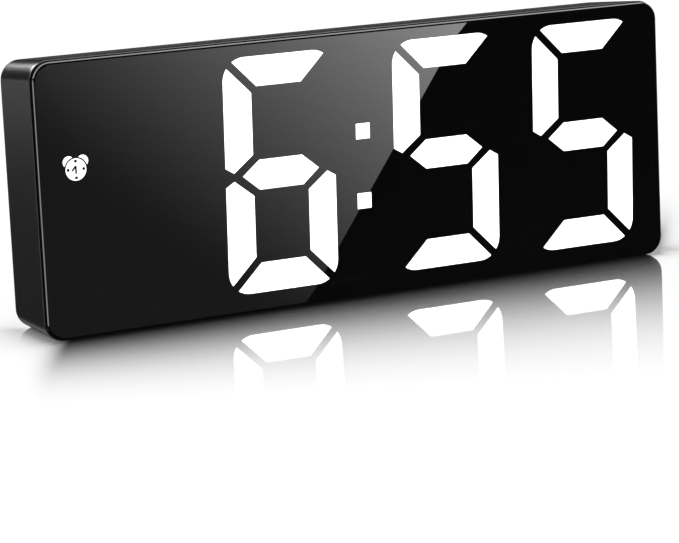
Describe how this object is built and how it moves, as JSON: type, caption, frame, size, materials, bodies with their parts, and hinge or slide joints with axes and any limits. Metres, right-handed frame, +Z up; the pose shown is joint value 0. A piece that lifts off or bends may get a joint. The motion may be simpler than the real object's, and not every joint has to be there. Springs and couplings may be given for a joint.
{
  "type": "alarm clock",
  "caption": "Flat desk alarm clock: large LED digits behind a smoked front lens, rear push buttons, slide switch, battery bay and power socket.",
  "frame": {"origin": "centre of the flat base, on the surface the clock stands on", "axes": "+X to the right seen from the front, front face towards -Y, +Z up"},
  "size_m": [0.1624, 0.022, 0.062],
  "materials": {
    "case_abs": "satin black moulded ABS",
    "lens_pmma": "smoked black acrylic, mirror gloss, polished chamfer",
    "tape_foam": "thin black double-sided foam tape",
    "reflector_abs": "matt black front film over moulded ABS",
    "diffuser_resin": "milky resin, lit from behind by white LEDs",
    "circuit_board": "green solder mask on glass laminate",
    "chip_black": "black moulded epoxy or nylon",
    "button_abs": "fine matt black ABS",
    "plated_steel": "nickel-plated spring steel",
    "screw_steel": "black zinc-plated steel",
    "cell_jacket": "printed shrink jacket on steel can",
    "wire_red": "red PVC insulation",
    "wire_black": "black PVC insulation"
  },
  "bodies": {
    "case": {"front_housing": "case_abs", "rear_cover": "case_abs", "front_lens": "lens_pmma", "lens_tape": "tape_foam", "reflector_frame": "reflector_abs", "diffuser_hour_tens": "diffuser_resin", "diffuser_hour_units": "diffuser_resin", "diffuser_minute_tens": "diffuser_resin", "diffuser_minute_units": "diffuser_resin", "diffuser_colon": "diffuser_resin", "diffuser_alarm_icon": "diffuser_resin", "display_board": "circuit_board", "power_board": "circuit_board", "clock_chip": "chip_black", "led_driver_chip": "chip_black", "filter_capacitor": "chip_black", "buzzer": "chip_black", "usb_tongue": "chip_black", "tact_switch_set": "chip_black", "tact_switch_mode": "chip_black", "tact_switch_up": "chip_black", "tact_switch_down": "chip_black", "crystal": "plated_steel", "sound_sensor": "plated_steel", "slide_switch_body": "plated_steel", "usb_socket": "plated_steel", "contact_negative": "plated_steel", "contact_bridge_low": "plated_steel", "contact_bridge_high": "plated_steel", "contact_positive": "plated_steel", "contact_spring_1": "plated_steel", "contact_spring_2": "plated_steel", "contact_spring_3": "plated_steel", "board_screw_1": "screw_steel", "board_screw_2": "screw_steel", "board_screw_3": "screw_steel", "board_screw_4": "screw_steel", "cover_screw_1": "screw_steel", "cover_screw_2": "screw_steel", "cover_screw_3": "screw_steel", "cover_screw_4": "screw_steel", "battery_cell_1": "cell_jacket", "battery_cell_2": "cell_jacket", "battery_cell_3": "cell_jacket", "battery_wire_red": "wire_red", "power_wire_red": "wire_red", "battery_wire_black": "wire_black", "power_wire_black": "wire_black"},
    "key_set": {"button_set": "button_abs", "tact_plunger_set": "button_abs"},
    "key_mode": {"button_mode": "button_abs", "tact_plunger_mode": "button_abs"},
    "key_up": {"button_up": "button_abs", "tact_plunger_up": "button_abs"},
    "key_down": {"button_down": "button_abs", "tact_plunger_down": "button_abs"},
    "slide_knob": {"slide_switch_knob": "button_abs"},
    "door": {"battery_door": "case_abs"}
  },
  "joints": [
    {"name": "press_set", "type": "slide", "parent": "case", "child": "key_set", "axis": [0, -1, 0], "range_m": [0, 0.0005], "stiffness_N_per_m": 600, "springref_m": -0.0003},
    {"name": "press_mode", "type": "slide", "parent": "case", "child": "key_mode", "axis": [0, -1, 0], "range_m": [0, 0.0005], "stiffness_N_per_m": 600, "springref_m": -0.0003},
    {"name": "press_up", "type": "slide", "parent": "case", "child": "key_up", "axis": [0, -1, 0], "range_m": [0, 0.0005], "stiffness_N_per_m": 600, "springref_m": -0.0003},
    {"name": "press_down", "type": "slide", "parent": "case", "child": "key_down", "axis": [0, -1, 0], "range_m": [0, 0.0005], "stiffness_N_per_m": 600, "springref_m": -0.0003},
    {"name": "slide_switch", "type": "slide", "parent": "case", "child": "slide_knob", "axis": [1, 0, 0], "range_m": [0, 0.003]},
    {"name": "battery_door_hinge", "type": "hinge", "parent": "case", "child": "door", "pos_m": [-0.0365, 0.0104, 0.01325], "axis": [-1, 0, 0], "range_deg": [0, 80]}
  ]
}
